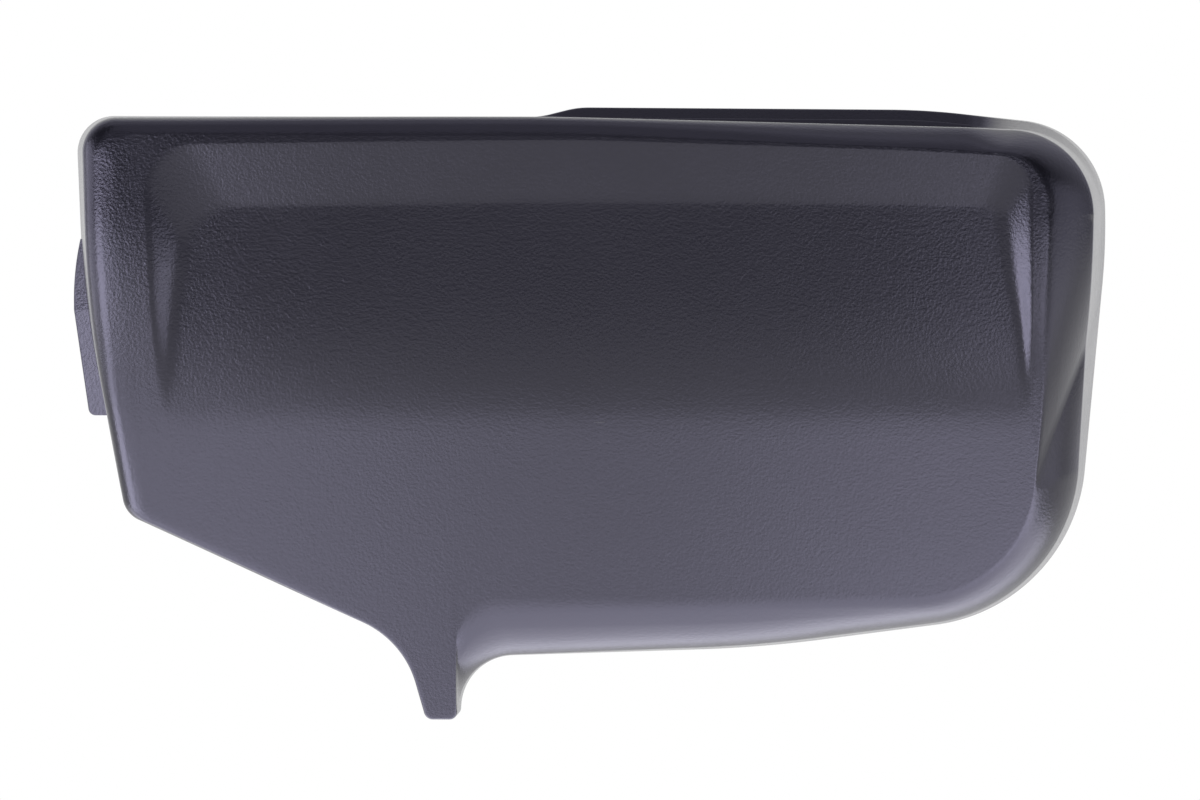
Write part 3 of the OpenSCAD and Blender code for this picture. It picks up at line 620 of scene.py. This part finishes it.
def turned_mesh(name, profile, steps=64):
    """A closed profile of (radius, depth) spun about a line along the depth."""
    angle = np.linspace(0, 2 * math.pi, steps, endpoint=False)
    points = [(r * math.cos(a), y, r * math.sin(a)) for r, y in profile for a in angle]
    faces = []
    for k in range(len(profile) - 1):
        a, b = k * steps, (k + 1) * steps
        faces += [(a + j, a + (j + 1) % steps, b + (j + 1) % steps, b + j) for j in range(steps)]
    faces += [tuple(range(steps)), tuple(range(len(points) - steps, len(points)))]
    return closed_up(make_mesh(name, points, faces))


def inside_y(x, z):
    return scooped(x, z) + WALL


# Where a clip or the ear meets a side: the side's number, and the share along it
def side_point(corners, i, f):
    return mix(corners[i, :2], corners[(i + 1) % CORNERS, :2], f)


def side_run(i):
    return unit(RIM[(i + 1) % CORNERS, :2] - RIM[i, :2])


def side_in(i, f, corners):
    return (side_point(corners, i, f) - side_point(RIM, i, f)) @ turned(side_run(i))


def side_edges(i, f):
    """The depths of a side's crease and of its wall's front edge."""
    face_y = float(face(*side_point(CREASE, i, f)))
    return face_y, face_y + mix(CORNER_FALL[i], CORNER_FALL[(i + 1) % CORNERS], f)


def side_skin(i, f, y):
    """How far in from the rim the outside of a side lies at a depth."""
    face_y, wall_y = side_edges(i, f)
    wall_in = side_in(i, f, WALL_TOP)
    if y > wall_y:
        return mix(0, wall_in, (RIM_Y - y) / (RIM_Y - wall_y))
    return mix(wall_in, side_in(i, f, CREASE), (wall_y - y) / (wall_y - face_y))


def clip_arms(tree):
    """The barbed arms, all alike, one at each clip's place."""
    arm_in, barb_y = CLIP_ARM + CLIP_T, CLIP_TIP_Y - BARB_LEN
    outline = [
        (CLIP_FOOT_Y, -CLIP_ARM), (CLIP_TIP_Y, -CLIP_ARM), (CLIP_TIP_Y, CLIP_T / 3 - arm_in),
        (CLIP_TIP_Y - BARB_LEN * 0.7, -arm_in - BARB_H), (barb_y, -arm_in - BARB_H), (barb_y, -arm_in),
        (CLIP_FOOT_Y, -arm_in),
    ]
    pattern = prism("clip_arm", outline, -CLIP_W / 2, CLIP_W / 2, 0)
    places = [side_point(RIM, i, f) for i, f in CLIP_PLACES]
    runs = [side_run(i) for i, f in CLIP_PLACES]
    turns = [math.atan2(-run[1], run[0]) for run in runs]
    return repeated("clip_arms", pattern, [(p[0], 0, p[1]) for p in places], turns, tree)


def web_sheets():
    """Two flat webs for each clip, from the wall to the arm, as points and faces."""
    points, faces = [], []
    web_y, arm_middle = CLIP_TIP_Y - CLIP_FREE, CLIP_ARM + CLIP_T / 2
    for i, f in CLIP_PLACES:
        run, place = side_run(i), side_point(RIM, i, f)
        turn_y = max(min(side_edges(i, f)[1], web_y - 1), CLIP_FOOT_Y + 1)
        outline = [(y, side_skin(i, f, y) + EMBED) for y in (CLIP_FOOT_Y, turn_y, web_y)]
        outline += [(web_y, arm_middle), (CLIP_FOOT_Y, arm_middle)]
        for side in (-1, 1):
            base = place + run * side * (CLIP_W - RIB_T) / 2
            faces.append(tuple(range(len(points), len(points) + len(outline))))
            spots = [(y, base + turned(run) * into) for y, into in outline]
            points += [(spot[0], y, spot[1]) for y, spot in spots]
    return points, faces


def strip(low, high, start):
    """A strip of faces between two lines of points, with its numbering from start."""
    n = len(low)
    return list(low) + list(high), [
        (start + k, start + k + 1, start + n + k + 1, start + n + k) for k in range(n - 1)
    ]


def rib_sheets():
    """The flat ribs on the inside of the face, and the gussets of the boss."""
    points, faces = [], []

    def add(low, high):
        more, made = strip(low, high, len(points))
        points.extend(more)
        faces.extend(made)

    slant_low, slant_high = CREASE[11], CREASE[12]
    for x in [side * k * RIB_PITCH for k in range(1, RIB_COUNT + 1) for side in (-1, 1)]:
        slant_z = np.interp(x, [slant_high[0], slant_low[0]], [slant_high[1], slant_low[1]])
        foot_z = max(slant_z + WALL + RIB_H, -RIB_FOOT_DROP) if x < slant_low[0] else -RIB_FOOT_DROP
        low, high = np.linspace(foot_z, RIB_TOP_Z, 25), np.linspace(foot_z + RIB_H, RIB_TOP_Z - RIB_H, 25)
        add([(x, inside_y(x, z) - EMBED, z) for z in low], [(x, inside_y(x, z) + RIB_H, z) for z in high])
    reach = RIB_COUNT * RIB_PITCH + RIB_H + RIB_T
    for z in (LONG_RIB_Z, -LONG_RIB_Z):
        low, high = np.linspace(-reach, reach, 33), np.linspace(RIB_H - reach, reach - RIB_H, 33)
        add([(x, inside_y(x, z) - EMBED, z) for x in low], [(x, inside_y(x, z) + RIB_H, z) for x in high])
    half, edge_y = GUSSET_SPAN / 2, inside_y(0, 0) + RIB_H / 2
    line = np.linspace(-half, half, 9)
    tops = np.interp(np.abs(line), [BOSS_D / 2, half], [-GUSSET_DROP, edge_y])
    add([(0, inside_y(0, v) - EMBED, v) for v in line], [(0, y, v) for v, y in zip(line, tops)])
    add([(v, inside_y(v, 0) - EMBED, 0) for v in line], [(v, y, 0) for v, y in zip(line, tops)])
    return points, faces


def centre_boss():
    """The round boss, with its screw hole and a small lead-in at the mouth."""
    foot, r, bore = inside_y(0, 0) - EMBED, BOSS_D / 2, BOSS_BORE_D / 2
    profile = [
        (0.01, foot), (r + 0.8, foot), (r + 0.8, foot + EMBED), (r + 0.2, foot + EMBED + 0.9),
        (r, foot + EMBED + 2), (r, -0.5), (r - 0.15, -0.15), (r - 0.5, 0), (bore + 0.5, 0),
        (bore + 0.12, -0.15), (bore, -0.5), (bore, -BOSS_BORE_DEPTH), (0.01, -BOSS_BORE_DEPTH - 0.8),
    ]
    return turned_mesh("centre_boss", profile)


def locating_pins(tree):
    """Two pins, each on its collar, with a tapered end."""
    z, x = LONG_RIB_Z, 2 * RIB_PITCH
    r, collar, foot = PIN_D / 2, PIN_COLLAR_D / 2, inside_y(x, z) - EMBED
    shoulder, end = -PIN_SHOULDER_DEPTH, PIN_LEN - PIN_SHOULDER_DEPTH
    profile = [
        (0.01, foot), (collar, foot), (collar, shoulder - 0.4), (collar - 0.4, shoulder),
        (r + 0.3, shoulder), (r, shoulder + 0.3), (r, end - PIN_TAPER), (r - PIN_TAPER * 0.6, end),
        (0.01, end),
    ]
    pattern = turned_mesh("locating_pin", profile)
    return repeated("locating_pins", pattern, [(-x, 0, z), (x, 0, z)], [0, 0], tree)


def ejector_marks(tree):
    """Shallow round marks that the mould's pins leave on the inside of the face."""
    r, top = MARK_R, MARK_PROUD
    profile = [(0.01, -1.0), (r, -1.0), (r, top - 0.1), (r - 0.1, top), (0.01, top)]
    pattern = turned_mesh("ejector_mark", profile, steps=40)
    places = [(x, inside_y(x, z), z) for x, z in MARK_PLACES]
    return repeated("ejector_marks", pattern, places, [0] * len(places), tree)


def ear_out(z):
    """How far the ear stands out from the wall at a height."""
    if z > LEFT_MID_Z:
        t = (EAR_TOP_Z - z) / (EAR_TOP_Z - LEFT_MID_Z)
        return mix(0.2, EAR_TOP_OUT, t * (2 - t))
    out = mix(EAR_OUT, EAR_TOP_OUT, (z - EAR_LOW_Z) / (LEFT_MID_Z - EAR_LOW_Z))
    from_foot = min(z - EAR_LOW_Z, EAR_R)
    return out - EAR_R + math.sqrt(EAR_R**2 - (EAR_R - from_foot) ** 2)


def ear_heights():
    """Heights for the ear's slices, down from its top, and close together round its lower corner."""
    foot = [EAR_LOW_Z + EAR_R * (1 - math.cos(a)) for a in np.linspace(0, math.pi / 2, 7)]
    upper, lower = np.linspace(EAR_TOP_Z, LEFT_MID_Z, 14), np.linspace(LEFT_MID_Z, foot[-1], 12)
    return list(upper) + list(lower)[1:] + foot[-2::-1]


def ear_slice(z):
    """A level slice of the ear, out along its leaning front and back along its flat rear."""
    i = CORNERS - 1 if z > LEFT_MID_Z else CORNERS - 2
    a, b = RIM[i], RIM[(i + 1) % CORNERS]
    share, out = (z - a[1]) / (b[1] - a[1]), ear_out(z)
    skin = mix(a[0], b[0], share) + side_skin(i, share, EAR_BACK_Y - EAR_T / 2)
    edge, root, lean = skin - out, skin + EMBED, math.tan(EAR_LEAN)
    front = EAR_BACK_Y - EAR_T + out * lean
    return [
        (root, EAR_BACK_Y - EAR_T - EMBED * lean, z), (edge + 0.25, front - 0.1, z),
        (edge + 0.07, front + 0.02, z), (edge, front + EAR_SOFT, z), (edge, EAR_BACK_Y - EAR_SOFT, z),
        (edge + EAR_SOFT, EAR_BACK_Y, z), (root, EAR_BACK_Y, z),
    ]


def ear():
    """The ear on the left wall, just short of the rim."""
    slices = [ear_slice(z) for z in ear_heights()]
    n, count = len(slices[0]), len(slices)
    faces = [
        (k * n + m, k * n + (m + 1) % n, (k + 1) * n + (m + 1) % n, (k + 1) * n + m)
        for k in range(count - 1) for m in range(n)
    ]
    faces += [tuple(range(n)), tuple(range((count - 1) * n, count * n))]
    return closed_up(make_mesh("ear", sum(slices, []), faces, smooth=False))


def node_of(tree, kind, **values):
    made = tree.nodes.new(kind)
    for key, value in values.items():
        setattr(made, key, value)
    return made


def maths(tree, operation, *values):
    """The result of an operation on sockets and numbers."""
    made = node_of(tree, "ShaderNodeMath", operation=operation)
    for value, target in zip(values, made.inputs):
        if isinstance(value, bpy.types.NodeSocket):
            tree.links.new(value, target)
        else:
            target.default_value = value
    return made.outputs[0]


def grained_plastic():
    """Satin black plastic with a fine moulded grain: small pits and hairs, and a haze too fine to see."""
    mat = bpy.data.materials.new("grained_black_plastic")
    mat.use_nodes = True
    tree = mat.node_tree
    shader = tree.nodes["Principled BSDF"]
    shader.inputs["Base Color"].default_value = OUTSIDE_COLOUR
    shader.inputs["Specular IOR Level"].default_value = OUTSIDE_SPECULAR
    shader.inputs["Specular Tint"].default_value = OUTSIDE_TINT
    place = node_of(tree, "ShaderNodeTexCoord")
    haze = noise(tree, place.outputs["Object"], HAZE_SCALE, 1)
    grain = noise(tree, place.outputs["Object"], GRAIN_SCALE, 2)
    patches = noise(tree, place.outputs["Object"], PATCH_SCALE, 3)
    normal = bumped(tree, haze, HAZE_HEIGHT)
    normal = bumped(tree, grain, GRAIN_HEIGHT, normal)
    chain(tree, normal, shader.inputs["Normal"],
          fade(tree, patches, PATCH_RANGE, GRAIN_ROUGHNESS), shader.inputs["Roughness"])
    return mat


def noise(tree, place, scale, detail):
    made = node_of(tree, "ShaderNodeTexNoise")
    made.inputs["Scale"].default_value, made.inputs["Detail"].default_value = scale, detail
    tree.links.new(place, made.inputs["Vector"])
    return made.outputs["Fac"]


def bumped(tree, height, depth, normal=None):
    """A normal that follows a height of the given depth in metres, on top of another normal."""
    made = node_of(tree, "ShaderNodeBump")
    made.inputs["Strength"].default_value, made.inputs["Distance"].default_value = 1.0, depth
    tree.links.new(height, made.inputs["Height"])
    if normal:
        tree.links.new(normal, made.inputs["Normal"])
    return made.outputs["Normal"]


def smooth_plastic():
    """The same plastic on the hidden side, off a plain mould, with faint flow streaks."""
    mat = bpy.data.materials.new("smooth_black_plastic")
    mat.use_nodes = True
    tree = mat.node_tree
    shader = tree.nodes["Principled BSDF"]
    shader.inputs["Base Color"].default_value = INSIDE_COLOUR
    place = node_of(tree, "ShaderNodeTexCoord")
    stretch = node_of(tree, "ShaderNodeMapping")
    stretch.inputs["Scale"].default_value = STREAK_SCALE
    tree.links.new(place.outputs["Object"], stretch.inputs["Vector"])
    streaks = noise(tree, stretch.outputs[0], 1.0, 4)
    tree.links.new(fade(tree, streaks, PATCH_RANGE, STREAK_ROUGHNESS), shader.inputs["Roughness"])
    return mat


def stage_material():
    """Pale floor that shows as white behind the object."""
    mat = bpy.data.materials.new("pale_stage")
    mat.use_nodes = True
    tree = mat.node_tree
    shader = tree.nodes["Principled BSDF"]
    shader.inputs["Base Color"].default_value = FLOOR_COLOUR
    shader.inputs["Roughness"].default_value = FLOOR_ROUGHNESS
    shader.inputs["Specular IOR Level"].default_value = 0.0
    white = node_of(tree, "ShaderNodeEmission")
    white.inputs["Color"].default_value, white.inputs["Strength"].default_value = WHITE, 1.0
    ray = node_of(tree, "ShaderNodeLightPath").outputs
    mirrored = maths(tree, "MAXIMUM", ray["Is Glossy Ray"], ray["Is Transmission Ray"])
    shown = maths(tree, "MAXIMUM", ray["Is Camera Ray"], mirrored)
    blend = node_of(tree, "ShaderNodeMixShader")
    chain(tree, shown, blend.inputs[0], shader.outputs[0], blend.inputs[1],
          white.outputs[0], blend.inputs[2], blend.outputs[0], tree.nodes["Material Output"].inputs["Surface"])
    return mat


def make_floor():
    half, z = STAGE_HALF, STAGE_Z
    mesh = bpy.data.meshes.new("floor")
    corners = [(-half, -half, z), (half, -half, z), (half, half, z), (-half, half, z)]
    mesh.from_pydata(corners, [], [(0, 1, 2, 3)])
    floor = bpy.data.objects.new("floor", mesh)
    mesh.materials.append(stage_material())
    bpy.context.scene.collection.objects.link(floor)


def make_world():
    """White for the camera, and behind the object for reflections. The rest is dark in front."""
    world = bpy.data.worlds.new("studio")
    bpy.context.scene.world = world
    world.use_nodes = True
    tree = world.node_tree
    tree.nodes.clear()
    out = node_of(tree, "ShaderNodeOutputWorld")
    white, lit = node_of(tree, "ShaderNodeBackground"), node_of(tree, "ShaderNodeBackground")
    white.inputs["Color"].default_value, white.inputs["Strength"].default_value = WHITE, 1.0
    lit.inputs["Color"].default_value = (*STUDIO_TINT, 1)
    place = node_of(tree, "ShaderNodeTexCoord")
    split = node_of(tree, "ShaderNodeSeparateXYZ")
    tree.links.new(place.outputs["Generated"], split.inputs[0])
    behind = maths(tree, "MULTIPLY_ADD", split.outputs["Z"], 0.3, split.outputs["Y"])
    backdrop = fade(tree, behind, BACKDROP_EDGE, (0.0, 1.0))
    ray = node_of(tree, "ShaderNodeLightPath").outputs
    mirrored = maths(tree, "MAXIMUM", ray["Is Glossy Ray"], ray["Is Transmission Ray"])
    shown = maths(tree, "MAXIMUM", ray["Is Camera Ray"], maths(tree, "MULTIPLY", mirrored, backdrop))
    blend = node_of(tree, "ShaderNodeMixShader")
    chain(tree, fade(tree, behind, (-0.3, 1.0), (0.0, WORLD_STRENGTH)), lit.inputs["Strength"],
          shown, blend.inputs[0], lit.outputs[0], blend.inputs[1], white.outputs[0], blend.inputs[2],
          blend.outputs[0], out.inputs["Surface"])


def fade(tree, value, source, target):
    """A smooth fade of a value from one range to another."""
    made = node_of(tree, "ShaderNodeMapRange", interpolation_type="SMOOTHSTEP")
    made.inputs["From Min"].default_value, made.inputs["From Max"].default_value = source
    made.inputs["To Min"].default_value, made.inputs["To Max"].default_value = target
    tree.links.new(value, made.inputs["Value"])
    return made.outputs[0]


def soft_lamp(name, place, target, size, radiance):
    """A soft rectangular lamp of a given brightness, pointed at a target."""
    lamp = bpy.data.lights.new(name, "AREA")
    lamp.shape = "RECTANGLE"
    lamp.size, lamp.size_y = size
    lamp.energy = radiance * math.pi * size[0] * size[1]
    lamp.color = STUDIO_TINT
    obj = bpy.data.objects.new(name, lamp)
    bpy.context.scene.collection.objects.link(obj)
    obj.location = place
    obj.rotation_euler = (Vector(target) - Vector(place)).to_track_quat("-Z", "Y").to_euler()
    obj.visible_camera = False


def make_lamps():
    """Every lamp of the table, aimed at the front-most line, and one under the cover."""
    middle = Vector((0, FRONT_Y * MM, 0))
    for name, turn, height, size, radiance in LAMPS:
        turn, height = math.radians(turn), math.radians(height)
        level = math.cos(height)
        away = Vector((math.sin(turn) * level, -math.cos(turn) * level, math.sin(height)))
        soft_lamp(name, middle + away * LAMP_DISTANCE, middle, size, radiance)
    soft_lamp(*UNDER_LAMP)


def make_camera():
    """The camera stands straight in front of the front-most line, where 4 pixels are 1 mm."""
    data = bpy.data.cameras.new("camera")
    data.sensor_width = SENSOR_W
    data.lens = SENSOR_W * CAMERA_DISTANCE / FRAME_W
    data.clip_start, data.clip_end = 0.05, 40
    camera = bpy.data.objects.new("camera", data)
    camera.location = (0, FRONT_Y * MM - CAMERA_DISTANCE, 0)
    camera.rotation_euler = (math.radians(90), 0, 0)
    bpy.context.scene.collection.objects.link(camera)
    bpy.context.scene.camera = camera


def make_cover():
    """The moulding: its shell, and the features of its hidden side."""
    grained, smooth = grained_plastic(), smooth_plastic()
    plates, repeats = plate_tree(smooth), repeat_tree(smooth)
    shell = add_piece("shell", loft_mesh("shell", outer_rings(), inner_rings()), grained, smooth)
    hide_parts(NODE)
    add_piece("ear", ear(), grained)
    thickness = {"Thickness": RIB_T * MM}
    webs = run_tree("clip_webs", make_mesh("web_sheets", *web_sheets()), plates, thickness, bevel=SOFT_EDGE)
    ribs = run_tree("ribs", make_mesh("rib_sheets", *rib_sheets()), plates, thickness, bevel=SOFT_EDGE)
    meshes = [clip_arms(repeats), webs, ribs, centre_boss(), locating_pins(repeats), ejector_marks(repeats)]
    for mesh in meshes:
        add_piece(mesh.name, mesh, smooth)


make_cover()
make_floor()
make_world()
make_lamps()
make_camera()
bpy.context.scene.view_settings.view_transform = "Standard"
